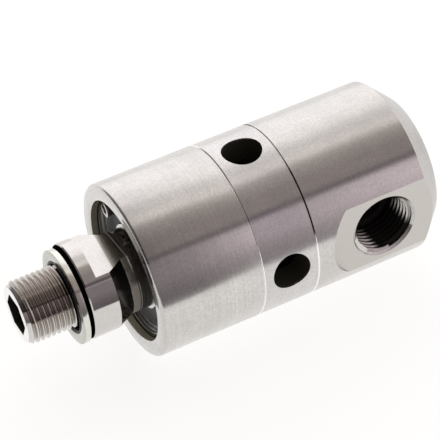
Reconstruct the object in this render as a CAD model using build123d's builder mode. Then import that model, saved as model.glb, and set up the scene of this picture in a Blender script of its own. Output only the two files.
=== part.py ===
"""Hydraulic rotary union with one passage: a threaded rotor runs in two ball bearings inside a three-piece
round housing, and oil passes from the rotor's bore to a threaded port in the housing's side.

Frame: millimetres. The rotor's axis is the X axis, and the origin is the centre of the sealing face of the
rotor's collar. The threaded spigot points to -X, the closed rear end to +X, and the side port to -Y.
"""

from build123d import *
from math import atan, cos, degrees, radians, sin, tan
import os

os.makedirs("parts", exist_ok=True)

# ---------------------------------------------------------------- driving dimensions
# G1/2 pipe thread, male on the spigot and female in the side port: both are drawn at the major diameter
thread_d = 20.955

# Rotor
spigot_length = 19.4
spigot_chamfer = 1.3
spigot_chamfer_length = 2.0
relief_length = 2.0
relief_d = 18.2
runout_length = 1.8
runout_step = 0.2
through_bore_d = 11.0
socket_across_flats = 12.0
socket_depth = 9.0
collar_d = 32.0
collar_length = 9.0
collar_chamfer = 0.4
cone_angle = 26.5
journal_d = 26.6
wrench_width = 22.0
flat_start = 4.4
flat_end_gap = 0.3
flat_turn = 5
rotor_step_height = 1.0
step_chamfer = 1.0
rotor_lead_length = 1.4
rotor_lead_angle = 20.0

# Housing: front sleeve, vent ring and rear housing, screwed together at two seams
housing_wall = 5.5
nose_length = 17.3
sleeve_length = 35.0
vent_ring_length = 19.2
rear_length = 47.4
front_chamfer = 0.7
mouth_chamfer = 0.35
seam_chamfer = 0.22
rear_bevel = 7.0
joint_thread_offset = 0.255
sleeve_joint_depth = 8.0
rear_joint_depth = 5.0
joint_end_gap = 0.3

# Vent ring
vent_count = 4
vent_hole_d = 13.0
bearing_shoulder_height = 3.0
rotor_passage_gap = 0.2
vent_web_margin = 0.8

# Side port
port_setback = 79.7
port_thread_depth = 14.0
port_chamfer = 0.8
port_flat_depth = 3.0
port_flat_setback = 59.8
port_flat_cutter_d = 32.0
pilot_d = 16.0

# Oil chamber behind the rotor
chamber_d = 17.0
chamber_end_margin = 0.5
drill_point_angle = 118.0
rotor_end_recess_gap = 1.0
rotor_end_projection = 1.2
rotor_end_gap = 0.8

# Ball bearings 20 x 47 x 14 with eight balls, and the rings between them
bearing_bore = 20.0
bearing_od = 47.0
bearing_width = 14.0
ball_d = 7.938
ball_count = 8
race_shoulder = 2.55
shield_recess_height = 0.9
shield_recess_depth = 1.5
shield_thickness = 0.9
shield_lip_gap = 0.3
cage_inward = 1.35
cage_outward = 1.45
cage_back = 4.9
cage_front = 2.4
cage_pocket_gap = 0.2
ring_corner = 0.9
spacer_width = 2.0
spacer_wall = 2.4

# Retaining rings
housing_clip_thickness = 1.75
housing_clip_groove_depth = 1.25
housing_clip_recess = 2.6
housing_clip_width = 2.4
housing_clip_taper = 0.5
housing_clip_turn = 61.0
housing_lug_r = 2.9
housing_lug_hole_d = 2.8
housing_lug_spread = 23.3
rotor_clip_thickness = 1.2
rotor_clip_groove_depth = 0.5
rotor_clip_width = 2.0
rotor_lug_r = 2.0
rotor_lug_hole_d = 1.6
rotor_lug_spread = 14.0
rotor_clip_gap = 1.2

# Rotor seals, guide ring and static seals
seal_width = 3.0
seal_wall = 2.2
seal_running_gap = 0.05
energiser_section_d = 2.7
seal_end_play = 0.2
divider_width = 1.1
guide_width = 4.0
guide_wall = 2.0
guide_running_gap = 0.04
guide_split = 0.6
guide_back_wall = 1.2
joint_seal_width = 1.9
joint_seal_height = 1.25
joint_seal_corner = 0.5
joint_seal_setback = 1.6

# Bonded seal, which hangs loose on the spigot thread until the union is screwed home
bonded_ring_width = 3.5
bonded_lip_height = 1.05
bonded_lip_clearance = 0.6725
bonded_thickness = 2.0
bonded_lip_proud = 0.2
bonded_gap = 1.3

# Fits
seat_gap = 0.01
thread_gap = 0.02
groove_play = 0.05
race_gap = 0.05
hang_gap = 0.02

# ---------------------------------------------------------------- stations along the axis
thread_r = thread_d / 2
housing_r = bearing_od / 2 + housing_wall
housing_front = nose_length
first_seam = housing_front + sleeve_length
second_seam = first_seam + vent_ring_length
housing_end = second_seam + rear_length
clip_front = housing_front + housing_clip_recess
clip_back = clip_front + housing_clip_thickness
front_bearing = clip_back
front_bearing_end = front_bearing + bearing_width
rear_bearing = front_bearing_end + spacer_width
rear_bearing_end = rear_bearing + bearing_width
rotor_clip_back = rear_bearing_end + rotor_clip_thickness
vent_x = (first_seam + second_seam) / 2
vent_web = vent_x + vent_hole_d / 2 + vent_web_margin
seal_pocket = second_seam + rear_joint_depth
seal_pocket_length = 2 * (seal_width + seal_end_play) + divider_width
seal_pocket_end = seal_pocket + seal_pocket_length
rotor_end = seal_pocket_end + rotor_end_projection
recess_end = rotor_end + rotor_end_gap
port_x = housing_front + port_setback
port_flat_height = housing_r - port_flat_depth
chamber_end = port_x + pilot_d / 2 + chamber_end_margin

# Radii that mating pieces share
bearing_seat_r = bearing_od / 2 + seat_gap
rotor_seat_r = bearing_bore / 2 - seat_gap
housing_clip_groove_r = bearing_od / 2 + housing_clip_groove_depth
rotor_clip_groove_r = bearing_bore / 2 - rotor_clip_groove_depth
vent_chamber_r = bearing_od / 2 - bearing_shoulder_height
# The joint threads lie near the middle of the wall between the bearing seat and the outside
joint_socket_r = (bearing_seat_r + housing_r) / 2 - joint_thread_offset
joint_spigot_r = joint_socket_r - thread_gap
rotor_seal_r = bearing_bore / 2 - rotor_step_height
rotor_end_recess_r = rotor_seal_r + rotor_end_recess_gap
passage_r = rotor_seal_r + rotor_passage_gap
seal_outer_r = rotor_seal_r + seal_running_gap + seal_wall
energiser_r = seal_outer_r + seat_gap + energiser_section_d / 2
seal_pocket_r = energiser_r + energiser_section_d / 2 + seat_gap
guide_outer_r = rotor_seal_r + guide_running_gap + guide_wall
guide_groove_r = guide_outer_r + seat_gap
ball_circle_r = (bearing_bore + bearing_od) / 4
inner_shoulder_r = ball_circle_r - race_shoulder
outer_shoulder_r = ball_circle_r + race_shoulder
shield_recess_r = outer_shoulder_r + shield_recess_height
thread_end = relief_length + runout_length
runout_r = thread_r - runout_step
bonded_lip_r = thread_r + bonded_lip_clearance
bonded_inner_r = bonded_lip_r + bonded_lip_height
bonded_outer_r = bonded_inner_r + bonded_ring_width


# ---------------------------------------------------------------- shared operations
def save(piece, name):
    """Label a finished sub-part and write it to its own file."""
    piece.part.label = name
    export_step(piece.part, f"parts/{name}.step")


def turned(points):
    """Turn a closed outline of (x, radius) points about the rotor's axis."""
    with BuildSketch(Plane.XZ) as outline:
        with BuildLine():
            Polyline(*points, close=True)
        make_face()
    revolve(outline.sketch, axis=Axis.X)


def washer(start, end, inner_r, outer_r):
    """Turn a plain ring between two stations and two radii."""
    turned([(start, inner_r), (start, outer_r), (end, outer_r), (end, inner_r)])


def radial_plane(x, height, angle):
    """Plane tangent to the circle of radius height at station x, facing outwards; angle 0 is +Y, 90 is +Z."""
    outward = (0, cos(radians(angle)), sin(radians(angle)))
    return Plane(
        origin=(x, height * outward[1], height * outward[2]), x_dir=(1, 0, 0), z_dir=outward
    )


def bore_along(plane, radius, depth):
    """Cut a round hole from a plane into the piece."""
    with BuildSketch(plane) as opening:
        Circle(radius)
    extrude(opening.sketch, amount=-depth, mode=Mode.SUBTRACT)


# ---------------------------------------------------------------- rotor
cone_length = (collar_d - journal_d) / 2 / tan(radians(cone_angle))
cone_end = collar_length + cone_length
rotor_clip_groove_back = rotor_clip_back + 2 * groove_play
rotor_step = rotor_clip_groove_back + step_chamfer
lead_drop = rotor_lead_length * tan(radians(rotor_lead_angle))
with BuildPart() as rotor_shaft:
    turned(
        [
            (-spigot_length, through_bore_d / 2),
            (-spigot_length, thread_r - spigot_chamfer),
            (-spigot_length + spigot_chamfer_length, thread_r),
            (-thread_end, thread_r),
            (-thread_end, runout_r),
            (-relief_length, runout_r),
            (-relief_length, relief_d / 2),
            (0, relief_d / 2),
            (0, collar_d / 2 - collar_chamfer),
            (collar_chamfer, collar_d / 2),
            (collar_length, collar_d / 2),
            (cone_end, journal_d / 2),
            (front_bearing, journal_d / 2),
            (front_bearing, rotor_seat_r),
            (rear_bearing_end, rotor_seat_r),
            (rear_bearing_end, rotor_clip_groove_r),
            (rotor_clip_groove_back, rotor_clip_groove_r),
            (rotor_clip_groove_back, rotor_seat_r),
            (rotor_step, rotor_seat_r),
            (rotor_step + step_chamfer, rotor_seal_r),
            (rotor_end - rotor_lead_length, rotor_seal_r),
            (rotor_end, rotor_seal_r - lead_drop),
            (rotor_end, through_bore_d / 2),
        ]
    )
    # Hexagon socket for a key in the mouth of the bore
    with BuildSketch(Plane.YZ.offset(-spigot_length)):
        RegularPolygon(socket_across_flats / 2, 6, major_radius=False)
    extrude(amount=socket_depth, mode=Mode.SUBTRACT)
    # Two wrench flats, milled from inside the collar's front edge to just in front of the housing
    flat_end = housing_front - flat_end_gap
    flat_length = flat_end - flat_start
    flat_centre = (flat_start + flat_end) / 2
    flat_depth = (collar_d - wrench_width) / 2 + collar_chamfer
    flat_middle = wrench_width / 2 + flat_depth / 2
    flat_angle = radians(90 - flat_turn)
    flat_plane = Plane(origin=(0, 0, 0), x_dir=(1, 0, 0), z_dir=(0, -sin(flat_angle), cos(flat_angle)))
    with BuildSketch(flat_plane):
        with Locations((flat_centre, flat_middle), (flat_centre, -flat_middle)):
            Rectangle(flat_length, flat_depth)
    extrude(amount=collar_d, both=True, mode=Mode.SUBTRACT)
save(rotor_shaft, "rotor_shaft")

# ---------------------------------------------------------------- bonded seal on the spigot
bonded_sag = bonded_lip_r - runout_r - hang_gap
bonded_axis = Axis((0, 0, -bonded_sag), (1, 0, 0))
bonded_plane = Plane(
    origin=(-bonded_gap - bonded_thickness / 2, 0, -bonded_sag), x_dir=(1, 0, 0), z_dir=(0, -1, 0)
)
with BuildPart() as bonded_seal_ring:
    with BuildSketch(bonded_plane):
        with Locations((0, (bonded_outer_r + bonded_inner_r) / 2)):
            Rectangle(bonded_thickness, bonded_ring_width)
    revolve(axis=bonded_axis)
save(bonded_seal_ring, "bonded_seal_ring")

lip_middle_r = (bonded_inner_r + bonded_lip_r) / 2
lip_half = bonded_thickness / 2
with BuildPart() as bonded_seal_lip:
    with BuildSketch(bonded_plane):
        with BuildLine():
            Polyline(
                (-lip_half, bonded_inner_r),
                (-lip_half - bonded_lip_proud, lip_middle_r),
                (-lip_half / 2, bonded_lip_r),
                (lip_half / 2, bonded_lip_r),
                (lip_half + bonded_lip_proud, lip_middle_r),
                (lip_half, bonded_inner_r),
                close=True,
            )
        make_face()
    revolve(axis=bonded_axis)
save(bonded_seal_lip, "bonded_seal_lip")

# ---------------------------------------------------------------- housing
sleeve_joint = first_seam - sleeve_joint_depth
with BuildPart() as front_sleeve:
    turned(
        [
            (housing_front, bearing_seat_r + mouth_chamfer),
            (housing_front, housing_r - front_chamfer),
            (housing_front + front_chamfer, housing_r),
            (first_seam - seam_chamfer, housing_r),
            (first_seam, housing_r - seam_chamfer),
            (first_seam, joint_socket_r),
            (sleeve_joint, joint_socket_r),
            (sleeve_joint, bearing_seat_r),
            (clip_back + groove_play, bearing_seat_r),
            (clip_back + groove_play, housing_clip_groove_r),
            (clip_front - groove_play, housing_clip_groove_r),
            (clip_front - groove_play, bearing_seat_r),
            (housing_front + mouth_chamfer, bearing_seat_r),
        ]
    )
save(front_sleeve, "front_sleeve")

vent_ring_end = second_seam + rear_joint_depth
guide_groove_end = vent_ring_end - guide_back_wall
guide_groove = guide_groove_end - guide_width - 2 * groove_play
joint_groove_end = vent_ring_end - joint_seal_setback
joint_groove = joint_groove_end - joint_seal_width - 2 * groove_play
joint_groove_r = joint_spigot_r - joint_seal_height
with BuildPart() as vent_ring:
    turned(
        [
            (first_seam, housing_r - seam_chamfer),
            (first_seam + seam_chamfer, housing_r),
            (second_seam - seam_chamfer, housing_r),
            (second_seam, housing_r - seam_chamfer),
            (second_seam, joint_spigot_r),
            (joint_groove, joint_spigot_r),
            (joint_groove, joint_groove_r),
            (joint_groove_end, joint_groove_r),
            (joint_groove_end, joint_spigot_r),
            (vent_ring_end, joint_spigot_r),
            (vent_ring_end, passage_r),
            (guide_groove_end, passage_r),
            (guide_groove_end, guide_groove_r),
            (guide_groove, guide_groove_r),
            (guide_groove, passage_r),
            (vent_web, passage_r),
            (vent_web, vent_chamber_r),
            (rear_bearing_end, vent_chamber_r),
            (rear_bearing_end, bearing_seat_r),
            (sleeve_joint + joint_end_gap, bearing_seat_r),
            (sleeve_joint + joint_end_gap, joint_spigot_r),
            (first_seam, joint_spigot_r),
        ]
    )
    for vent_number in range(vent_count):
        bore_along(
            radial_plane(vent_x, housing_r, vent_number * 360 / vent_count), vent_hole_d / 2, housing_r
        )
save(vent_ring, "vent_ring")

drill_point = chamber_d / 2 / tan(radians(drill_point_angle / 2))
port_plane = radial_plane(port_x, port_flat_height, 180)
cutter_r = port_flat_cutter_d / 2
cutter_start = housing_front + port_flat_setback + cutter_r - port_x
with BuildPart() as rear_housing:
    turned(
        [
            (second_seam, joint_socket_r),
            (second_seam, housing_r - seam_chamfer),
            (second_seam + seam_chamfer, housing_r),
            (housing_end - rear_bevel, housing_r),
            (housing_end, housing_r - rear_bevel),
            (housing_end, 0),
            (chamber_end + drill_point, 0),
            (chamber_end, chamber_d / 2),
            (recess_end, chamber_d / 2),
            (recess_end, rotor_end_recess_r),
            (seal_pocket_end, rotor_end_recess_r),
            (seal_pocket_end, seal_pocket_r),
            (seal_pocket, seal_pocket_r),
            (seal_pocket, joint_socket_r),
        ]
    )
    # Flat round the port, milled with a round cutter that runs out over the rear bevel
    with BuildSketch(port_plane):
        with Locations((cutter_start, 0)):
            Circle(cutter_r)
            Rectangle(rear_length, port_flat_cutter_d, align=(Align.MIN, Align.CENTER))
    extrude(amount=housing_r, mode=Mode.SUBTRACT)
    # Thread bore, its countersink, and the drilling to the chamber
    bore_along(port_plane, thread_r, port_thread_depth)
    with Locations(port_plane.offset(-port_chamfer / 2)):
        Cone(thread_r, thread_r + port_chamfer, port_chamfer, mode=Mode.SUBTRACT)
    bore_along(port_plane, pilot_d / 2, port_flat_height)
save(rear_housing, "rear_housing")

with BuildPart() as joint_seal:
    joint_seal_start = joint_groove + groove_play
    washer(
        joint_seal_start, joint_seal_start + joint_seal_width, joint_groove_r + seat_gap, joint_spigot_r
    )
    fillet(joint_seal.edges().filter_by(GeomType.CIRCLE), joint_seal_corner)
save(joint_seal, "joint_seal")


# ---------------------------------------------------------------- ball bearings
def make_bearing(place, start):
    """Write the pieces of one sealed ball bearing whose front face is at station start."""
    middle = start + bearing_width / 2
    end = start + bearing_width
    race_r = ball_d / 2 + race_gap

    with BuildPart() as outer_ring:
        with BuildSketch(Plane.XZ):
            with BuildLine():
                Polyline(
                    (start + ring_corner, bearing_od / 2),
                    (end - ring_corner, bearing_od / 2),
                    (end, bearing_od / 2 - ring_corner),
                    (end, shield_recess_r),
                    (end - shield_recess_depth, shield_recess_r),
                    (end - shield_recess_depth, outer_shoulder_r),
                    (start + shield_recess_depth, outer_shoulder_r),
                    (start + shield_recess_depth, shield_recess_r),
                    (start, shield_recess_r),
                    (start, bearing_od / 2 - ring_corner),
                    close=True,
                )
            make_face()
            with Locations((middle, ball_circle_r)):
                Circle(race_r, mode=Mode.SUBTRACT)
        revolve(axis=Axis.X)
    save(outer_ring, f"{place}_bearing_outer_ring")

    with BuildPart() as inner_ring:
        with BuildSketch(Plane.XZ):
            with Locations((middle, (bearing_bore / 2 + inner_shoulder_r) / 2)):
                Rectangle(bearing_width, inner_shoulder_r - bearing_bore / 2)
            with Locations((middle, ball_circle_r)):
                Circle(race_r, mode=Mode.SUBTRACT)
        revolve(axis=Axis.X)
    save(inner_ring, f"{place}_bearing_inner_ring")

    with BuildPart() as balls:
        with Locations(Plane(origin=(middle, 0, 0), x_dir=(0, 1, 0), z_dir=(1, 0, 0))):
            with PolarLocations(ball_circle_r, ball_count):
                Sphere(ball_d / 2)
    save(balls, f"{place}_bearing_balls")

    with BuildPart() as cage:
        cage_inner_r = ball_circle_r - cage_inward
        cage_outer_r = ball_circle_r + cage_outward
        washer(middle - cage_front, middle + cage_back, cage_inner_r, cage_outer_r)
        with Locations(Plane(origin=(middle, 0, 0), x_dir=(0, 1, 0), z_dir=(1, 0, 0))):
            with PolarLocations(ball_circle_r, ball_count):
                Sphere(ball_d / 2 + cage_pocket_gap, mode=Mode.SUBTRACT)
    save(cage, f"{place}_bearing_cage")

    shield_inner_r = inner_shoulder_r + shield_lip_gap
    shield_outer_r = shield_recess_r - seat_gap
    shield_step = shield_recess_depth - seat_gap
    for side, face, inwards in (("front", start, 1), ("rear", end, -1)):
        seat = face + inwards * shield_step
        with BuildPart() as shield:
            washer(
                min(seat, seat - inwards * shield_thickness),
                max(seat, seat - inwards * shield_thickness),
                shield_inner_r,
                shield_outer_r,
            )
        save(shield, f"{place}_bearing_{side}_shield")


make_bearing("front", front_bearing)
make_bearing("rear", rear_bearing)

with BuildPart() as outer_spacer:
    washer(front_bearing_end, rear_bearing, bearing_od / 2 - spacer_wall, bearing_od / 2)
save(outer_spacer, "outer_spacer")

with BuildPart() as inner_spacer:
    washer(front_bearing_end, rear_bearing, bearing_bore / 2, bearing_bore / 2 + spacer_wall)
save(inner_spacer, "inner_spacer")

# ---------------------------------------------------------------- retaining rings
clip_outer_r = housing_clip_groove_r - groove_play
lug_circle_r = bearing_seat_r - housing_lug_r
with BuildPart() as housing_circlip:
    with BuildSketch(Plane.YZ.offset(clip_front)):
        Circle(clip_outer_r)
        # The ring is widest opposite its gap, so its inner edge is set off towards the lugs
        with PolarLocations(housing_clip_taper, 1, start_angle=housing_clip_turn):
            Circle(clip_outer_r - housing_clip_width, mode=Mode.SUBTRACT)
        for side in (-1, 1):
            lug_angle = housing_clip_turn + side * housing_lug_spread
            with PolarLocations(lug_circle_r, 1, start_angle=lug_angle):
                Circle(housing_lug_r)
                Circle(housing_lug_hole_d / 2, mode=Mode.SUBTRACT)
        # The gap runs through the ring between the two lugs
        gap_half_angle = housing_lug_spread - degrees(atan(housing_lug_r / lug_circle_r))
        gap_reach = clip_outer_r / cos(radians(gap_half_angle)) + housing_clip_width
        with BuildLine():
            Polyline(
                (0, 0),
                (
                    gap_reach * cos(radians(housing_clip_turn - gap_half_angle)),
                    gap_reach * sin(radians(housing_clip_turn - gap_half_angle)),
                ),
                (
                    gap_reach * cos(radians(housing_clip_turn + gap_half_angle)),
                    gap_reach * sin(radians(housing_clip_turn + gap_half_angle)),
                ),
                close=True,
            )
        make_face(mode=Mode.SUBTRACT)
    extrude(amount=housing_clip_thickness)
save(housing_circlip, "housing_circlip")

rotor_clip_inner_r = rotor_clip_groove_r + seat_gap
rotor_lug_circle_r = rotor_clip_inner_r + rotor_clip_width + rotor_lug_r / 2
with BuildPart() as rotor_circlip:
    with BuildSketch(Plane.YZ.offset(rear_bearing_end + groove_play)):
        Circle(rotor_clip_inner_r + rotor_clip_width)
        for side in (-1, 1):
            with PolarLocations(rotor_lug_circle_r, 1, start_angle=90 + side * rotor_lug_spread):
                Circle(rotor_lug_r)
                Circle(rotor_lug_hole_d / 2, mode=Mode.SUBTRACT)
        Circle(rotor_clip_inner_r, mode=Mode.SUBTRACT)
        with Locations((0, rotor_lug_circle_r)):
            Rectangle(rotor_clip_gap, rotor_lug_circle_r, mode=Mode.SUBTRACT)
    extrude(amount=rotor_clip_thickness)
save(rotor_circlip, "rotor_circlip")

# ---------------------------------------------------------------- rotor seals and guide ring
divider = seal_pocket + seal_width + seal_end_play
for place, seal_start in (
    ("front", seal_pocket + seal_end_play / 2),
    ("rear", divider + divider_width + seal_end_play / 2),
):
    with BuildPart() as rotor_seal:
        washer(seal_start, seal_start + seal_width, rotor_seal_r + seal_running_gap, seal_outer_r)
    save(rotor_seal, f"{place}_rotor_seal")
    with BuildPart() as energiser:
        with BuildSketch(Plane.XZ):
            with Locations((seal_start + seal_width / 2, energiser_r)):
                Circle(energiser_section_d / 2)
        revolve(axis=Axis.X)
    save(energiser, f"{place}_seal_energiser")

with BuildPart() as seal_divider:
    washer(divider, divider + divider_width, passage_r, seal_pocket_r - seat_gap)
save(seal_divider, "seal_divider")

with BuildPart() as guide_ring:
    guide_start = guide_groove + groove_play
    washer(guide_start, guide_start + guide_width, rotor_seal_r + guide_running_gap, guide_outer_r)
    # Slanting split that lets the ring spring into its groove
    with BuildSketch(Plane.XY.offset(passage_r)):
        with Locations(Location((guide_start + guide_width / 2, 0), 45)):
            Rectangle(guide_width * 3, guide_split)
    extrude(amount=guide_outer_r, both=True, mode=Mode.SUBTRACT)
save(guide_ring, "guide_ring")
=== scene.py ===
import math

import bmesh
import bpy
from mathutils import Matrix, Vector


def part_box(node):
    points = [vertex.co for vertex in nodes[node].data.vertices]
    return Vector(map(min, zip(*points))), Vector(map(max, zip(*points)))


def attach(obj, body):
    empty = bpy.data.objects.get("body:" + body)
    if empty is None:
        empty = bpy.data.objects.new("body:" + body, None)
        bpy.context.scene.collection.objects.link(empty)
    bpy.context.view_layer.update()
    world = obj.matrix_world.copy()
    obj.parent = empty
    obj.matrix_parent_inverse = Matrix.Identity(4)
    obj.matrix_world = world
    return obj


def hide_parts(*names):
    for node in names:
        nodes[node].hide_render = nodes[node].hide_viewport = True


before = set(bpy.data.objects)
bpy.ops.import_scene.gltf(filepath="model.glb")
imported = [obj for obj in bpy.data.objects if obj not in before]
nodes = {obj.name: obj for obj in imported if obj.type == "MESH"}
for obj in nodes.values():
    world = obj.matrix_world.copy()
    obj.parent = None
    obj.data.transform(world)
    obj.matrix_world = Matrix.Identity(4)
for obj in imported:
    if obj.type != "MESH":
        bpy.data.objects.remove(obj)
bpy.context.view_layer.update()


# ---------------------------------------------------------------- paper floor
# A sheet of white paper under the union. The camera and the bright metal see it white, and it keeps a faint
# contact shadow. The union lies on its round housing, so the paper is at the housing's lowest line.
def new_material(name):
    """Material with nothing but an output node: the material, its node tree and that node."""
    material = bpy.data.materials.new(name)
    material.use_nodes = True
    tree = material.node_tree
    tree.nodes.clear()
    return material, tree, tree.nodes.new("ShaderNodeOutputMaterial")


def calculate(tree, operation, *values):
    """Result of a sum on one or two values, each of them a socket or a number."""
    step = tree.nodes.new("ShaderNodeMath")
    step.operation = operation
    for socket, value in zip(step.inputs, values):
        if isinstance(value, float):
            socket.default_value = value
        else:
            tree.links.new(value, socket)
    return step.outputs[0]


def new_object(name, bm):
    """Object at the origin with the finished bmesh as its mesh."""
    mesh = bpy.data.meshes.new(name)
    bm.to_mesh(mesh)
    bm.free()
    made = bpy.data.objects.new(name, mesh)
    bpy.context.scene.collection.objects.link(made)
    return made


floor_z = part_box("front_sleeve")[0].z
floor_reach = 3.0
paper_white = (1.0, 0.995, 0.985, 1)
paper_brightness = 0.86
shadow_grey = (0.3, 0.3, 0.3, 1)
bounce_white = (0.85, 0.85, 0.84, 1)

floor_bm = bmesh.new()
bmesh.ops.create_grid(floor_bm, x_segments=1, y_segments=1, size=floor_reach)
bmesh.ops.translate(floor_bm, vec=(0, 0, floor_z), verts=floor_bm.verts)
floor = new_object("paper_floor", floor_bm)

paper, paper_tree, paper_output = new_material("white_paper")
paper_rays = paper_tree.nodes.new("ShaderNodeLightPath").outputs
seen = calculate(paper_tree, "MAXIMUM", paper_rays["Is Camera Ray"], paper_rays["Is Glossy Ray"])
seen = calculate(paper_tree, "MAXIMUM", seen, paper_rays["Is Transmission Ray"])
paper_glow = paper_tree.nodes.new("ShaderNodeEmission")
paper_glow.inputs["Color"].default_value = paper_white
paper_glow.inputs["Strength"].default_value = paper_brightness
paper_shadow = paper_tree.nodes.new("ShaderNodeBsdfDiffuse")
paper_shadow.inputs["Color"].default_value = shadow_grey
paper_sheet = paper_tree.nodes.new("ShaderNodeAddShader")
paper_tree.links.new(paper_glow.outputs[0], paper_sheet.inputs[0])
paper_tree.links.new(paper_shadow.outputs[0], paper_sheet.inputs[1])
paper_bounce = paper_tree.nodes.new("ShaderNodeBsdfDiffuse")
paper_bounce.inputs["Color"].default_value = bounce_white
paper_mix = paper_tree.nodes.new("ShaderNodeMixShader")
paper_tree.links.new(seen, paper_mix.inputs["Fac"])
paper_tree.links.new(paper_bounce.outputs[0], paper_mix.inputs[1])
paper_tree.links.new(paper_sheet.outputs[0], paper_mix.inputs[2])
paper_tree.links.new(paper_mix.outputs[0], paper_output.inputs["Surface"])
paper.cycles.emission_sampling = "NONE"
floor.data.materials.append(paper)


# ---------------------------------------------------------------- room light
# A soft bright room behind and above the union, dim on the camera's side and dimmer on the spigot's side.
# Its bands run once round the X axis: from behind, below, through the camera's side and over the top.
def between(tree, value, low, high, at_low=0.0, at_high=1.0):
    """Straight ramp from at_low to at_high while a socket's value goes from low to high."""
    ramp = tree.nodes.new("ShaderNodeMapRange")
    ramp.inputs["From Min"].default_value = low
    ramp.inputs["From Max"].default_value = high
    ramp.inputs["To Min"].default_value = at_low
    ramp.inputs["To Max"].default_value = at_high
    tree.links.new(value, ramp.inputs["Value"])
    return ramp.outputs[0]


def scaled(tree, colour, factor):
    """A colour, plain or from a socket, made brighter or dimmer by the factor's socket."""
    shade = tree.nodes.new("ShaderNodeVectorMath")
    shade.operation = "SCALE"
    if isinstance(colour, tuple):
        shade.inputs[0].default_value = colour
    else:
        tree.links.new(colour, shade.inputs[0])
    tree.links.new(factor, shade.inputs["Scale"])
    return shade.outputs[0]


def banded(tree, factor, stops):
    """Colour ramp through (place, colour) stops, the first at 0 and the last at 1."""
    ramp = tree.nodes.new("ShaderNodeValToRGB")
    for place, colour in stops[1:-1]:
        ramp.color_ramp.elements.new(place)
    for element, (place, colour) in zip(ramp.color_ramp.elements, stops):
        element.position = place
        element.color = (*colour, 1)
    tree.links.new(factor, ramp.inputs["Fac"])
    return ramp.outputs["Color"]


room_bands = [  # angle round the X axis in degrees, and the room's colour there
    (-180, (1.30, 1.29, 1.29)),
    (-60, (1.0, 0.99, 0.97)),
    (0, (0.50, 0.44, 0.47)),
    (39, (0.50, 0.44, 0.47)),
    (41.5, (0.12, 0.10, 0.11)),
    (45, (0.12, 0.10, 0.11)),
    (48, (0.35, 0.31, 0.30)),
    (66, (0.34, 0.30, 0.29)),
    (80, (0.43, 0.39, 0.37)),
    (87, (0.52, 0.47, 0.45)),
    (91, (0.85, 0.80, 0.78)),
    (96, (1.02, 0.96, 0.93)),
    (107, (0.86, 0.82, 0.81)),
    (116, (0.95, 0.92, 0.92)),
    (124, (1.28, 1.24, 1.24)),
    (150, (1.45, 1.42, 1.43)),
    (172, (1.38, 1.36, 1.37)),
    (180, (1.30, 1.29, 1.29)),
]
spigot_side_start, spigot_side_end = -0.42, -0.12  # X part of the direction in which the room is dimmer
spigot_side_light = 0.12

room = bpy.data.worlds.new("soft_room")
bpy.context.scene.world = room
room.use_nodes = True
room_tree = room.node_tree
room_tree.nodes.clear()
room_output = room_tree.nodes.new("ShaderNodeOutputWorld")
room_light = room_tree.nodes.new("ShaderNodeBackground")
room_light.inputs["Strength"].default_value = 1.0
room_tree.links.new(room_light.outputs[0], room_output.inputs["Surface"])
room_direction = room_tree.nodes.new("ShaderNodeTexCoord")
room_split = room_tree.nodes.new("ShaderNodeSeparateXYZ")
room_tree.links.new(room_direction.outputs["Generated"], room_split.inputs[0])
room_front = calculate(room_tree, "MULTIPLY", room_split.outputs["Y"], -1.0)
room_angle = calculate(room_tree, "ARCTAN2", room_split.outputs["Z"], room_front)
room_colour = banded(
    room_tree,
    between(room_tree, room_angle, -math.pi, math.pi),
    [((angle + 180) / 360, colour) for angle, colour in room_bands],
)
room_side = between(
    room_tree, room_split.outputs["X"], spigot_side_start, spigot_side_end, spigot_side_light, 1.0
)
room_tree.links.new(scaled(room_tree, room_colour, room_side), room_light.inputs["Color"])


# ---------------------------------------------------------------- dim card
# A long grey card that stands in front of the union, out of the camera's sight. Its reflection is the grey
# band along the housing's near side, and it ends the white reflection of the paper.
card_y = -0.127
card_top = 0.100
card_half_length = 0.7
card_half_height = (card_top - floor_z) / 2
card_fade_start, card_fade_end = 0.04, 0.17
card_tint = (1.0, 0.875, 0.93)
card_greys = [(0.0, 0.27), (0.17, 0.33), (0.32, 0.47), (0.5, 0.52), (0.62, 0.66), (0.72, 0.76), (1.0, 0.86)]
card_full_height = 0.045
card_foot_light = 0.45

card_bm = bmesh.new()
bmesh.ops.create_grid(card_bm, x_segments=1, y_segments=1, size=1)
card_scale = Matrix.Diagonal((card_half_length, card_half_height, 1, 1))
card_stand = Matrix.Rotation(math.radians(90), 4, "X")
card_place = Matrix.Translation((0, card_y, floor_z + card_half_height))
bmesh.ops.transform(card_bm, matrix=card_place @ card_stand @ card_scale, verts=card_bm.verts)
card = new_object("dim_card", card_bm)

grey_card, card_tree, card_output = new_material("grey_card")
card_point = card_tree.nodes.new("ShaderNodeTexCoord")
card_split = card_tree.nodes.new("ShaderNodeSeparateXYZ")
card_tree.links.new(card_point.outputs["Object"], card_split.inputs[0])
card_colour = banded(
    card_tree,
    between(card_tree, card_split.outputs["X"], card_fade_start, card_fade_end),
    [(place, tuple(grey * part for part in card_tint)) for place, grey in card_greys],
)
card_low = between(card_tree, card_split.outputs["Z"], floor_z, card_full_height, card_foot_light, 1.0)
card_glow = card_tree.nodes.new("ShaderNodeEmission")
card_glow.inputs["Strength"].default_value = 1.0
card_tree.links.new(scaled(card_tree, card_colour, card_low), card_glow.inputs["Color"])
card_tree.links.new(card_glow.outputs[0], card_output.inputs["Surface"])
grey_card.cycles.emission_sampling = "NONE"
card.data.materials.append(grey_card)
card.visible_camera = False
card.visible_diffuse = False
card.visible_shadow = False


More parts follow.
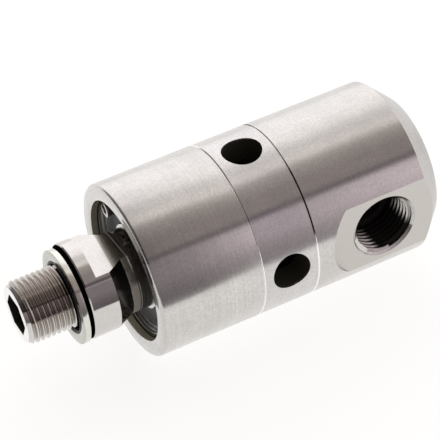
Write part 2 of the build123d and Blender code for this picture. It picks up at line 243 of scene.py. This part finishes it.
# ---------------------------------------------------------------- camera
# A long lens on the spigot's side, above and in front of the union, turned a little about its own axis.
camera_spot = (-0.1551, -0.4711, 0.4487)
camera_right = Vector((0.88244, -0.46358, -0.07996))
camera_up = Vector((0.35821, 0.55199, 0.75299))
camera_back = Vector((-0.30493, -0.69311, 0.65316))

camera_data = bpy.data.cameras.new("camera")
camera_data.sensor_width = 36.0
camera_data.lens = 175.6
camera_data.clip_start, camera_data.clip_end = 0.05, 20.0
camera = bpy.data.objects.new("camera", camera_data)
bpy.context.scene.collection.objects.link(camera)
camera_turn = Matrix((camera_right, camera_up, camera_back)).transposed()
camera.matrix_world = Matrix.Translation(camera_spot) @ camera_turn.to_4x4()
bpy.context.scene.camera = camera
bpy.context.scene.view_settings.view_transform = "Standard"


# ---------------------------------------------------------------- front sleeve
# The front third of the housing, turned from stainless bar and screwed to the vent ring. The lathe's fine
# rings blur what the metal mirrors along the axis and keep it sharp round the girth. The bore is painted
# dark and dull as shade, and a bright line at the seam is a painted highlight.
origin = (0, 0, 0)
along_x = (1, 0, 0)
along_y = (0, 1, 0)
along_z = (0, 0, 1)


def measured(tree, point, direction):
    """Dot product of a socket's vector with a direction."""
    product = tree.nodes.new("ShaderNodeVectorMath")
    product.operation = "DOT_PRODUCT"
    product.inputs[1].default_value = direction
    tree.links.new(point, product.inputs[0])
    return product.outputs["Value"]


def facing(tree, direction):
    """How far the surface faces a direction, from -1 to 1."""
    surface = tree.nodes.new("ShaderNodeTexCoord")
    return measured(tree, surface.outputs["Normal"], direction)


def about_axis(tree, centre, along):
    """Distance along an axis and distance from it, in metres."""
    place = tree.nodes.new("ShaderNodeTexCoord")
    centred = tree.nodes.new("ShaderNodeVectorMath")
    centred.operation = "SUBTRACT"
    centred.inputs[1].default_value = centre
    tree.links.new(place.outputs["Object"], centred.inputs[0])
    across = tree.nodes.new("ShaderNodeVectorMath")
    across.operation = "CROSS_PRODUCT"
    across.inputs[1].default_value = along
    tree.links.new(centred.outputs[0], across.inputs[0])
    radial = tree.nodes.new("ShaderNodeVectorMath")
    radial.operation = "LENGTH"
    tree.links.new(across.outputs[0], radial.inputs[0])
    return measured(tree, centred.outputs[0], along), radial.outputs["Value"]


def times(tree, first, *others):
    """Product of two or more sockets."""
    for other in others:
        first = calculate(tree, "MULTIPLY", first, other)
    return first


def window(tree, value, low, high, soft):
    """1 where a socket's value lies between low and high, fading to 0 over soft on both sides."""
    rise = between(tree, value, low - soft, low)
    fall = between(tree, value, high, high + soft, 1.0, 0.0)
    return times(tree, rise, fall)


def paint(material, where, colour, bare=False):
    """Blend the metal's colour to another where the socket says 1: painted shade or a painted highlight, or
    the tone of another finish. Bare takes the mirror away there as well, so the painted colour shows dull."""
    tree = material.node_tree
    metal = tree.nodes["Principled BSDF"].inputs
    blend = tree.nodes.new("ShaderNodeMix")
    blend.data_type = "RGBA"
    tree.links.new(where, blend.inputs["Factor"])
    tree.links.new(metal["Base Color"].links[0].from_socket, blend.inputs["A"])
    blend.inputs["B"].default_value = (*colour, 1)
    tree.links.new(blend.outputs["Result"], metal["Base Color"])
    if bare:
        left = between(tree, where, 0.0, 1.0, 1.0, 0.0)
        if metal["Metallic"].is_linked:
            left = times(tree, left, metal["Metallic"].links[0].from_socket)
        tree.links.new(left, metal["Metallic"])
        tree.links.new(between(tree, left, 0.0, 1.0, 0.0, 0.5), metal["Specular IOR Level"])


def paint_bore(material, centre, along, radius, start, end, colour, soft=0.0003):
    """Paint the metal nearer the axis than radius, between two stations along it, and leave it bare."""
    tree = material.node_tree
    station_blur = 0.0001
    axial, radial = about_axis(tree, centre, along)
    near = between(tree, radial, radius - soft, radius, 1.0, 0.0)
    station = window(tree, axial, start + station_blur, end - station_blur, station_blur)
    paint(material, times(tree, near, station), colour, bare=True)


def paint_ring(material, start, end, colour, lowest=None, highest=None, bare=False):
    """Paint a ring round the X axis between two stations, all round or between two heights."""
    tree = material.node_tree
    station_blur, height_blur = 0.00004, 0.002
    where = window(tree, about_axis(tree, origin, along_x)[0], start, end, station_blur)
    if highest is not None:
        height = about_axis(tree, origin, along_z)[0]
        where = times(tree, where, window(tree, height, lowest, highest, height_blur))
    paint(material, where, colour, bare)


def cloudy(tree, place, scale, detail, roughness=0.5):
    """Cloudy pattern from 0 to 1, finer with a larger scale."""
    pattern = tree.nodes.new("ShaderNodeTexNoise")
    pattern.inputs["Scale"].default_value = scale
    pattern.inputs["Detail"].default_value = detail
    pattern.inputs["Roughness"].default_value = roughness
    tree.links.new(place, pattern.inputs["Vector"])
    return pattern.outputs["Fac"]


def roughen(tree, shader, pattern, strength, depth):
    """Let a pattern raise and sink the surface a little."""
    bump = tree.nodes.new("ShaderNodeBump")
    bump.inputs["Strength"].default_value = strength
    bump.inputs["Distance"].default_value = depth
    tree.links.new(pattern, bump.inputs["Height"])
    tree.links.new(bump.outputs[0], shader.inputs["Normal"])


def turned_metal(
    name, colour, roughness=0.27, anisotropy=0.9, centre=origin, along=along_x, face_tone=0.9, grain=1.0
):
    """Metal turned about the axis through centre, with fine rings, faint stains and mottle. Faces across the
    axis are smoother than the girth and of another tone."""
    face_roughness = 0.13
    material, tree, output = new_material(name)
    metal = tree.nodes.new("ShaderNodeBsdfPrincipled")
    metal.inputs["Metallic"].default_value = 1.0
    metal.inputs["Anisotropic"].default_value = anisotropy
    metal.inputs["Anisotropic Rotation"].default_value = 0.25
    tree.links.new(metal.outputs[0], output.inputs["Surface"])
    tangent = tree.nodes.new("ShaderNodeTangent")
    tangent.direction_type = "RADIAL"
    tangent.axis = "X" if along[0] else "Y"
    tree.links.new(tangent.outputs[0], metal.inputs["Tangent"])

    axial, radial = about_axis(tree, centre, along)
    end_face = calculate(tree, "ABSOLUTE", facing(tree, along))
    rings = tree.nodes.new("ShaderNodeCombineXYZ")
    tree.links.new(axial, rings.inputs["X"])
    tree.links.new(times(tree, radial, end_face), rings.inputs["Y"])
    surface = tree.nodes.new("ShaderNodeTexCoord").outputs["Object"]
    fine = cloudy(tree, rings.outputs[0], scale=2200.0, detail=3.0, roughness=0.65)
    stain = cloudy(tree, surface, scale=95.0, detail=4.0)
    mottle = cloudy(tree, surface, scale=1300.0, detail=2.0)
    shade = times(
        tree,
        between(tree, fine, 0.3, 0.7, at_low=1 - 0.09 * grain, at_high=1 + 0.05 * grain),
        between(tree, stain, 0.35, 0.7, at_low=1.02, at_high=0.95),
        between(tree, mottle, 0.3, 0.7, at_low=1 - 0.09 * grain, at_high=1 + 0.07 * grain),
        between(tree, end_face, 0.3, 0.7, at_low=1.0, at_high=face_tone),
    )
    tree.links.new(scaled(tree, colour, shade), metal.inputs["Base Color"])
    dull = calculate(
        tree, "ADD",
        between(tree, stain, 0.3, 0.7, at_low=-0.02, at_high=0.03),
        between(tree, end_face, 0.3, 0.9, at_low=roughness, at_high=face_roughness),
    )
    tree.links.new(dull, metal.inputs["Roughness"])
    roughen(tree, metal, fine, strength=0.2 * grain, depth=0.00002)
    return material


def merged_copy(node):
    """Bmesh of a CAD node's mesh with its loose triangles joined."""
    loose = nodes[node].data.copy()
    if "custom_normal" in loose.attributes:
        loose.attributes.remove(loose.attributes["custom_normal"])
    bm = bmesh.new()
    bm.from_mesh(loose)
    bpy.data.meshes.remove(loose)
    bmesh.ops.remove_doubles(bm, verts=bm.verts, dist=1e-6)
    return bm


def smooth_with_edges(piece, angle):
    """Smooth shading, broken at edges sharper than the angle in degrees."""
    piece.data.shade_smooth()
    piece.data.set_sharp_from_angle(angle=math.radians(angle))


def rounded_copy(name, node, edge_round, segments):
    """Copy of a CAD node with its sharp edges rounded."""
    rounded_above, smooth_below = 30, 40
    bm = merged_copy(node)
    sharp = [
        edge for edge in bm.edges
        if len(edge.link_faces) == 2 and edge.calc_face_angle(0) > math.radians(rounded_above)
    ]
    bmesh.ops.bevel(
        bm, geom=sharp, offset=edge_round, offset_type="OFFSET", affect="EDGES", segments=segments,
        profile=0.5, material=-1, clamp_overlap=True,
    )
    piece = new_object(name, bm)
    smooth_with_edges(piece, smooth_below)
    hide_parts(node)
    return piece


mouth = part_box("front_sleeve")[0].x
first_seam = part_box("front_sleeve")[1].x
housing_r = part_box("front_sleeve")[1].y
bore_start = mouth + 0.00025
bore_end = first_seam - 0.0004
bore_paint_r = housing_r - 0.003
steel_colour = (0.66, 0.64, 0.62)
bore_painted_shade = (0.40, 0.38, 0.30)
painted_edge_highlight = (0.97, 0.965, 0.955)
seam_width = 0.00026
seam_overlap = 0.0001
first_seam_top = 0.0262  # the painted seam highlight stops at this height
below_all = -1.0  # lower than anything

sleeve_steel = turned_metal("sleeve_steel", steel_colour, face_tone=0.92)
# painted shade: the bore inside the mouth is dark and dull
paint_bore(sleeve_steel, origin, along_x, bore_paint_r, bore_start, bore_end, bore_painted_shade)
# painted highlight: a bright line on the sleeve's side of the first seam
paint_ring(
    sleeve_steel, first_seam - seam_width, first_seam + seam_overlap, painted_edge_highlight, below_all, first_seam_top
)
sleeve = rounded_copy("front_sleeve_turned", "front_sleeve", edge_round=0.0002, segments=1)
sleeve.data.materials.append(sleeve_steel)
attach(sleeve, "housing")


# ---------------------------------------------------------------- vent ring
# The middle piece of the housing, turned from the same bar and drilled with four round vent holes. Both
# seams are chamfered: the first has a painted highlight, the second painted shade at mid height and a painted
# highlight below that. Its bore and the walls of its holes are painted dark as shade.
def finish_node(name, material):
    """Give a CAD node that keeps its own shape its finish."""
    nodes[name].data.materials.clear()
    nodes[name].data.materials.append(material)


def paint_second_seam(material, start, end):
    """Painted shade on the second seam at mid height and a painted highlight on its lower part."""
    paint_ring(material, start, end, seam_painted_shade, seam_shade_bottom, seam_shade_top, bare=True)
    paint_ring(material, start, end, painted_edge_highlight, below_all, seam_highlight_top)


second_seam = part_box("rear_housing")[0].x
vent_wall = 0.0003
vent_painted_shade = (0.07, 0.068, 0.05)
seam_painted_shade = (0.03, 0.027, 0.025)
seam_shade_bottom, seam_shade_top = 0.0105, 0.0255
seam_highlight_top = 0.0082

vent_steel = turned_metal("vent_ring_steel", (0.66, 0.64, 0.63))
# painted shade: the vent ring's bore and the walls of its holes are dark and dull
paint_bore(vent_steel, origin, along_x, housing_r - vent_wall, 0.0, second_seam, vent_painted_shade)
# painted highlight: a bright line on the vent ring's side of the first seam
paint_ring(
    vent_steel, first_seam - seam_overlap, first_seam + seam_width, painted_edge_highlight, below_all, first_seam_top
)
# painted shade at mid height of the second seam and a painted highlight below it
paint_second_seam(vent_steel, second_seam - seam_width, second_seam + seam_overlap)
finish_node("vent_ring", vent_steel)


# ---------------------------------------------------------------- rear housing
# The closed rear part of the housing, turned with a wide bevel. A flat is milled on its side, and the port is
# bored through the flat and tapped with a G1/2 pipe thread. The port's bore and the housing's inside are
# painted black as shade.
thread_major_r = 0.0104775
port_x = 0.097
port_mouth = -0.0252  # foot of the countersink, along Y
port_centre = (port_x, 0, 0)
port_paint_r = thread_major_r + 0.0001
port_paint_start = port_mouth + 0.0011
port_painted_shade = (0.03, 0.028, 0.025)
inside_r = 0.0245
inside_end = 0.112
inside_painted_shade = (0.05, 0.045, 0.04)
milled_start, milled_full = 0.0769, 0.0770
milled_facing, milled_facing_edge = -0.9998, -0.9990
milled_colour = (0.57, 0.545, 0.515)

rear_steel = turned_metal("rear_housing_steel", steel_colour, face_tone=0.80)
# painted shade at mid height of the second seam and a painted highlight below it
paint_second_seam(rear_steel, second_seam - seam_overlap, second_seam + seam_width)
rear_tree = rear_steel.node_tree
milled = times(
    rear_tree,
    between(rear_tree, facing(rear_tree, along_y), milled_facing, milled_facing_edge, 1.0, 0.0),
    between(rear_tree, about_axis(rear_tree, origin, along_x)[0], milled_start, milled_full),
)
paint(rear_steel, milled, milled_colour)
# painted shade: the port's bore is black and dull
paint_bore(rear_steel, port_centre, along_y, port_paint_r, port_paint_start, 0.0, port_painted_shade, soft=0.00008)
# painted shade: the housing's inside is dark and dull
paint_bore(rear_steel, origin, along_x, inside_r, 0.0, inside_end, inside_painted_shade)
finish_node("rear_housing", rear_steel)


# ---------------------------------------------------------------- rotor with its G1/2 spigot thread
# One stainless turning. The spigot carries a right-hand pipe thread cut with rounded crests and roots, run
# out before the relief groove and cut back by the end chamfer. Brown painted shade lies in its roots, weaker
# lower down, and the end face is painted bright as a highlight round the hexagon socket, painted dark as
# shade.
thread_pitch = 0.001814
steps_per_turn = 96
crest_r = thread_major_r
root_r = 0.0093155
half_outline = [  # offset along the axis and radius, from a crest to the middle of a root
    (0.0, crest_r),
    (0.00014, crest_r - 0.00005),
    (0.00026, crest_r - 0.00021),
    (0.00064, root_r + 0.00021),
    (0.00077, root_r + 0.00005),
    (0.00087, root_r - 0.00004),
]
thread_outline = [(-offset, radius) for offset, radius in reversed(half_outline[1:])] + half_outline
foot = half_outline[-1][0]  # half the ridge's width where it meets the root
foot_depth = 0.0003


def wind_thread(bm, outline, start, turns, first_angle=0.0):
    """Sweep a closed outline of (axial offset, radius) about the X axis along a right-hand helix."""
    corners = [bm.verts.new((start + offset, radius, 0)) for offset, radius in outline]
    section = bm.faces.new(corners)
    steps = round(turns * steps_per_turn)
    bmesh.ops.spin(
        bm,
        geom=[section],
        cent=(0, 0, 0),
        axis=(1, 0, 0),
        dvec=(thread_pitch / steps_per_turn, 0, 0),
        angle=2 * math.pi * steps / steps_per_turn,
        steps=steps,
        use_merge=False,
        use_normal_flip=False,
        use_duplicate=False,
    )
    bmesh.ops.rotate(bm, cent=(0, 0, 0), matrix=Matrix.Rotation(first_angle, 3, "X"), verts=bm.verts)


def from_x_axis(vert):
    """Distance of a vertex from the X axis."""
    return math.hypot(vert.co.y, vert.co.z)


def set_radius(vert, radius):
    """Move a vertex straight to a distance from the X axis."""
    change = radius / from_x_axis(vert)
    vert.co.y *= change
    vert.co.z *= change


spigot_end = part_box("rotor_shaft")[0].x
relief_start = -0.002
spigot_thread_start = spigot_end + 0.0002
spigot_turns = 9.2
core_r = root_r + 0.00001
core_end = relief_start + 0.00001
chamfer_end_r = 0.0091575
chamfer_slope = 0.65
runout_end_r = core_r - 0.0002
ridge_inset = 0.00003  # keeps the ridge off the end face and the groove's wall

rotor_bm = merged_copy("rotor_shaft")
for vert in rotor_bm.verts:  # the plain cylinder that carries the ridge goes down to the roots
    if vert.co.x < core_end and from_x_axis(vert) > core_r:
        set_radius(vert, core_r)
ridge_bm = bmesh.new()
buried = [(foot, root_r - foot_depth), (-foot, root_r - foot_depth)]
wind_thread(ridge_bm, thread_outline + buried, spigot_thread_start, spigot_turns)
for vert in ridge_bm.verts:  # end chamfer and run-out
    vert.co.x = min(max(vert.co.x, spigot_end + ridge_inset), relief_start - ridge_inset)
    cone_r = min(
        chamfer_end_r + (vert.co.x - spigot_end) * chamfer_slope,
        runout_end_r + (relief_start - vert.co.x),
    )
    if from_x_axis(vert) > cone_r:
        set_radius(vert, cone_r)
bmesh.ops.recalc_face_normals(ridge_bm, faces=ridge_bm.faces)
ridge_mesh = bpy.data.meshes.new("spigot_ridge")
ridge_bm.to_mesh(ridge_mesh)
ridge_bm.free()
rotor_bm.from_mesh(ridge_mesh)
bpy.data.meshes.remove(ridge_mesh)
rotor = new_object("rotor_with_thread", rotor_bm)
smooth_with_edges(rotor, angle=24)

rotor_steel = turned_metal(
    "rotor_steel", (0.64, 0.62, 0.60), roughness=0.12, anisotropy=0.8, face_tone=1.0, grain=0.5
)
rotor_tree = rotor_steel.node_tree
rotor_axial, rotor_radial = about_axis(rotor_tree, origin, along_x)
rotor_height = about_axis(rotor_tree, origin, along_z)[0]

# brown painted shade in the spigot thread's roots, weaker lower down
root_painted_shade = (0.41, 0.365, 0.33)
root_shade_full_r, root_shade_free_r = crest_r - 0.0004, crest_r - 0.00005
root_shade_start = spigot_end + 0.0015
root_shade_fade = 0.0002
root_shade_weak_below, root_shade_full_above = -0.001, 0.003
shaded_roots = times(
    rotor_tree,
    between(rotor_tree, rotor_radial, root_shade_full_r, root_shade_free_r, 1.0, 0.0),
    window(rotor_tree, rotor_axial, root_shade_start, relief_start, root_shade_fade),
    between(rotor_tree, rotor_height, root_shade_weak_below, root_shade_full_above, at_low=0.45),
)
paint(rotor_steel, shaded_roots, root_painted_shade)

# painted shade in the hexagon socket, and a painted highlight on the end face round it
socket_painted_shade = (0.05, 0.05, 0.04)
socket_r = 0.0073
face_start, face_end = spigot_end + 0.00002, spigot_end + 0.0001
past_all = 1.0  # further back than anything
end_face_painted_highlight = (0.86, 0.85, 0.84)
paint_bore(rotor_steel, origin, along_x, socket_r, face_start, past_all, socket_painted_shade)
paint(rotor_steel, between(rotor_tree, rotor_axial, face_start, face_end, 1.0, 0.0), end_face_painted_highlight)

# painted shade in the relief groove and on the collar face behind the washer
relief_painted_shade = (0.015, 0.014, 0.013)
relief_shade_start, relief_shade_end = relief_start - 0.0006, 0.00003
paint_ring(rotor_steel, relief_shade_start, relief_shade_end, relief_painted_shade, bare=True)

flat_end = mouth - 0.0003
journal_painted_light = (0.72, 0.69, 0.62)  # painted light on the journal's underside, as if lit from the paper below
journal_start, journal_end = 0.0146, flat_end + 0.0006
journal_light_top = 0.0040
edge_start, edge_end = flat_end - 0.0005, flat_end - 0.00003
edge_bottom, edge_top = 0.0098, 0.0127
# painted light on the journal's underside, and a painted highlight on the edge at the wrench flat's rear end
paint_ring(rotor_steel, journal_start, journal_end, journal_painted_light, below_all, journal_light_top, bare=True)
paint_ring(rotor_steel, edge_start, edge_end, painted_edge_highlight, edge_bottom, edge_top, bare=True)

# painted shade on the cone, which mirrors the dark mouth
cone_painted_shade = (0.17, 0.16, 0.14)
cone_facing_low, cone_facing_high, cone_facing_fade = 0.4, 0.5, 0.15
shaded_cone = window(
    rotor_tree, facing(rotor_tree, along_x), cone_facing_low, cone_facing_high, cone_facing_fade
)
paint(rotor_steel, shaded_cone, cone_painted_shade)

shaded_flat_colour = (0.36, 0.33, 0.30)
shade_slant = (1, -0.117, 0)  # the housing's shade crosses the upper wrench flat at a slant
shade_start, shade_full = 0.0117, 0.0120
flat_facing, flat_facing_full = 0.985, 0.99
shaded_flat = times(
    rotor_tree,
    between(rotor_tree, facing(rotor_tree, along_z), flat_facing, flat_facing_full),
    between(rotor_tree, about_axis(rotor_tree, origin, shade_slant)[0], shade_start, shade_full),
)
paint(rotor_steel, shaded_flat, shaded_flat_colour)

step_painted_shade = (0.10, 0.09, 0.08)  # painted shade on the wall at the flat's rear end
step_start, step_end = flat_end - 0.00002, flat_end + 0.0002
paint_ring(rotor_steel, step_start, step_end, step_painted_shade, bare=True)
rotor.data.materials.append(rotor_steel)
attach(rotor, "rotor")
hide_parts("rotor_shaft")


# ---------------------------------------------------------------- thread of the side port
# Female G1/2 thread tapped in the port's bore, so it is the rear housing's own steel. It is the spigot's
# ridge turned inside out, with its crests at the small diameter, cut back by the countersink. Painted shade
# darkens its roots, its deep end and its lower rear side.
port_bottom = -0.0126
tap_length = port_bottom - port_mouth
tap_lead, tap_tail = 0.0004, 0.0002  # how far the ridge is kept past both ends of the tapped length
countersink_r, countersink_slope = crest_r + 0.0001, 1.8
tap_runout_r, tap_runout_slope = crest_r + 0.0002, 1.2
tap_start_angle = math.radians(-100)
tap_outline = [(offset, crest_r + root_r - radius) for offset, radius in thread_outline]
tap_buried = [(foot, crest_r + foot_depth), (-foot, crest_r + foot_depth)]

tap_bm = bmesh.new()
wind_thread(tap_bm, tap_outline + tap_buried, 0.0, tap_length / thread_pitch, tap_start_angle)
for vert in tap_bm.verts:
    vert.co.x = min(max(vert.co.x, -tap_lead), tap_length + tap_tail)
    least_r = max(
        countersink_r - (vert.co.x + tap_lead) * countersink_slope,
        tap_runout_r - (tap_length + tap_tail - vert.co.x) * tap_runout_slope,
    )
    if from_x_axis(vert) < least_r:
        set_radius(vert, least_r)
# the thread's own axis becomes the port's, which points inwards along +Y
tap_place = Matrix.Translation((port_x, port_mouth, 0)) @ Matrix.Rotation(math.radians(90), 4, "Z")
bmesh.ops.transform(tap_bm, matrix=tap_place, verts=tap_bm.verts)
bmesh.ops.recalc_face_normals(tap_bm, faces=tap_bm.faces)
port_thread = new_object("port_thread", tap_bm)
smooth_with_edges(port_thread, angle=40)

tap_steel = turned_metal(
    "tapped_steel", (0.62, 0.60, 0.57), roughness=0.14, centre=port_centre, along=along_y, anisotropy=0.2,
    face_tone=1.0,
)
tap_tree = tap_steel.node_tree
tap_axial, tap_radial = about_axis(tap_tree, port_centre, along_y)
tap_across = about_axis(tap_tree, port_centre, along_x)[0]
tap_height = about_axis(tap_tree, port_centre, along_z)[0]

# painted shade in the tapped thread's roots, from just inside the mouth
tap_shade_r, tap_shade_full_r = root_r + 0.0002, root_r + 0.0007
tap_shade_start, tap_shade_full = port_mouth + 0.0002, port_mouth + 0.0012
tap_root_shade = times(
    tap_tree,
    between(tap_tree, tap_radial, tap_shade_r, tap_shade_full_r),
    between(tap_tree, tap_axial, tap_shade_start, tap_shade_full),
)
paint(tap_steel, tap_root_shade, port_painted_shade)
# painted shade deeper in the port
deep_shade_start, deep_shade_full = -0.021, -0.014
paint(tap_steel, between(tap_tree, tap_axial, deep_shade_start, deep_shade_full), port_painted_shade)

# painted shade on the port's lower rear side, where its deep inside is seen
port_shade_side, port_shade_side_full = -0.0030, -0.0010
port_shade_top_full, port_shade_top = -0.0045, -0.0015
port_shade_start, port_shade_full = port_mouth, port_mouth + 0.0006
lower_port_shade = times(
    tap_tree,
    between(tap_tree, tap_across, port_shade_side, port_shade_side_full),
    between(tap_tree, tap_height, port_shade_top_full, port_shade_top, 1.0, 0.0),
    between(tap_tree, tap_axial, port_shade_start, port_shade_full),
)
paint(tap_steel, lower_port_shade, port_painted_shade, bare=True)
port_thread.data.materials.append(tap_steel)
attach(port_thread, "housing")


# ---------------------------------------------------------------- bonded seal's washer
# Stamped steel washer, zinc plated, with a rubber lip moulded to its bore. It hangs loose on the spigot.
# Stamping and plating leave its edges slightly round, and its rear side is dark in the gap to the collar.
washer_rear = -0.00138
washer_shade = (0.02, 0.02, 0.02)

seal_washer = rounded_copy("bonded_washer", "bonded_seal_ring", edge_round=0.00016, segments=2)
zinc = turned_metal(
    "zinc_plate", (0.72, 0.72, 0.66), roughness=0.2, anisotropy=0.7, grain=0.5, face_tone=0.62
)
paint_ring(zinc, washer_rear, 0.0, washer_shade, bare=True)
seal_washer.data.materials.append(zinc)
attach(seal_washer, "rotor")


# ---------------------------------------------------------------- rubber lip, O-rings and bearing shields
# Black nitrile rubber, moulded: the lip of the bonded seal, the O-ring in the rear joint, the two O-rings
# that press on the rotor seals, and the four seals snapped into the bearings.
def moulded(name, colour, roughness):
    """Rubber or plastic with the faint speckle of its mould."""
    material, tree, output = new_material(name)
    skin = tree.nodes.new("ShaderNodeBsdfPrincipled")
    tree.links.new(skin.outputs[0], output.inputs["Surface"])
    place = tree.nodes.new("ShaderNodeTexCoord").outputs["Object"]
    speckle = cloudy(tree, place, scale=1400.0, detail=4.0)
    darker, lighter = (tuple(share * part for part in colour) for share in (0.7, 1.5))
    tree.links.new(banded(tree, speckle, [(0.0, darker), (1.0, lighter)]), skin.inputs["Base Color"])
    dull = between(tree, speckle, 0.0, 1.0, at_low=roughness - 0.1, at_high=roughness + 0.12)
    tree.links.new(dull, skin.inputs["Roughness"])
    roughen(tree, skin, speckle, strength=0.3, depth=0.00004)
    return material


rubber = moulded("nitrile_rubber", (0.007, 0.007, 0.0065), 0.45)
for rubber_node in (
    "bonded_seal_lip", "joint_seal", "front_bearing_front_shield", "front_bearing_rear_shield",
    "rear_bearing_front_shield", "rear_bearing_rear_shield", "front_seal_energiser", "rear_seal_energiser",
):
    finish_node(rubber_node, rubber)


# ---------------------------------------------------------------- retaining rings
# Stamped spring steel rings with pierced lugs, phosphated dark grey. Nearer the axis they are painted light
# grey as a highlight: the front one's lugs and inner edge, and all of the smaller rotor one. The front
# one is sprung into the housing's mouth before the bearing, the other on the rotor behind the rear bearing.
# painted highlight: light grey nearer the axis than light_r
light_r, dark_r = 0.0213, 0.0218
inner_painted_highlight = (0.52, 0.5, 0.47)

spring_steel = turned_metal(
    "phosphated_spring_steel", (0.20, 0.19, 0.175), roughness=0.3, anisotropy=0.1, grain=0.6
)
spring_tree = spring_steel.node_tree
spring_radial = about_axis(spring_tree, origin, along_x)[1]
paint(spring_steel, between(spring_tree, spring_radial, light_r, dark_r, 1.0, 0.0), inner_painted_highlight)
mouth_ring = rounded_copy("mouth_retaining_ring", "housing_circlip", edge_round=0.00014, segments=2)
mouth_ring.data.materials.append(spring_steel)
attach(mouth_ring, "housing")
rotor_ring = rounded_copy("rotor_retaining_ring", "rotor_circlip", edge_round=0.0001, segments=2)
rotor_ring.data.materials.append(spring_steel)
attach(rotor_ring, "rotor")


# ---------------------------------------------------------------- ball bearings
# Ground and polished steel rings and balls, with a snap cage moulded in pale polyamide. The outer rings sit
# in the bores of the front sleeve and the vent ring, and the inner rings on the rotor.
ground_steel = turned_metal(
    "ground_bearing_steel", (0.68, 0.68, 0.68), roughness=0.16, anisotropy=0.3, grain=0.4
)
cage_plastic = moulded("cage_polyamide", (0.62, 0.54, 0.36), 0.45)
for bearing in ("front", "rear"):
    for member in ("outer_ring", "inner_ring", "balls"):
        finish_node(f"{bearing}_bearing_{member}", ground_steel)
    finish_node(f"{bearing}_bearing_cage", cage_plastic)


# ---------------------------------------------------------------- spacers and seal divider
# Plain turned steel rings. The spacers hold the two bearings apart, one on the rotor and one in the housing,
# and the divider parts the two rotor seals.
spacer_steel = turned_metal("spacer_steel", (0.6, 0.58, 0.56))
for ring_node in ("outer_spacer", "inner_spacer", "seal_divider"):
    finish_node(ring_node, spacer_steel)


# ---------------------------------------------------------------- rotor seals and guide ring
# Sealing rings and a split guide band, turned from bronze-filled plastic. The seals sit in the rear housing
# and the band in the vent ring, and all run on the rotor's rear end.
bronze_plastic = moulded("bronze_filled_plastic", (0.24, 0.16, 0.10), 0.4)
for ring_node in ("front_rotor_seal", "rear_rotor_seal", "guide_ring"):
    finish_node(ring_node, bronze_plastic)
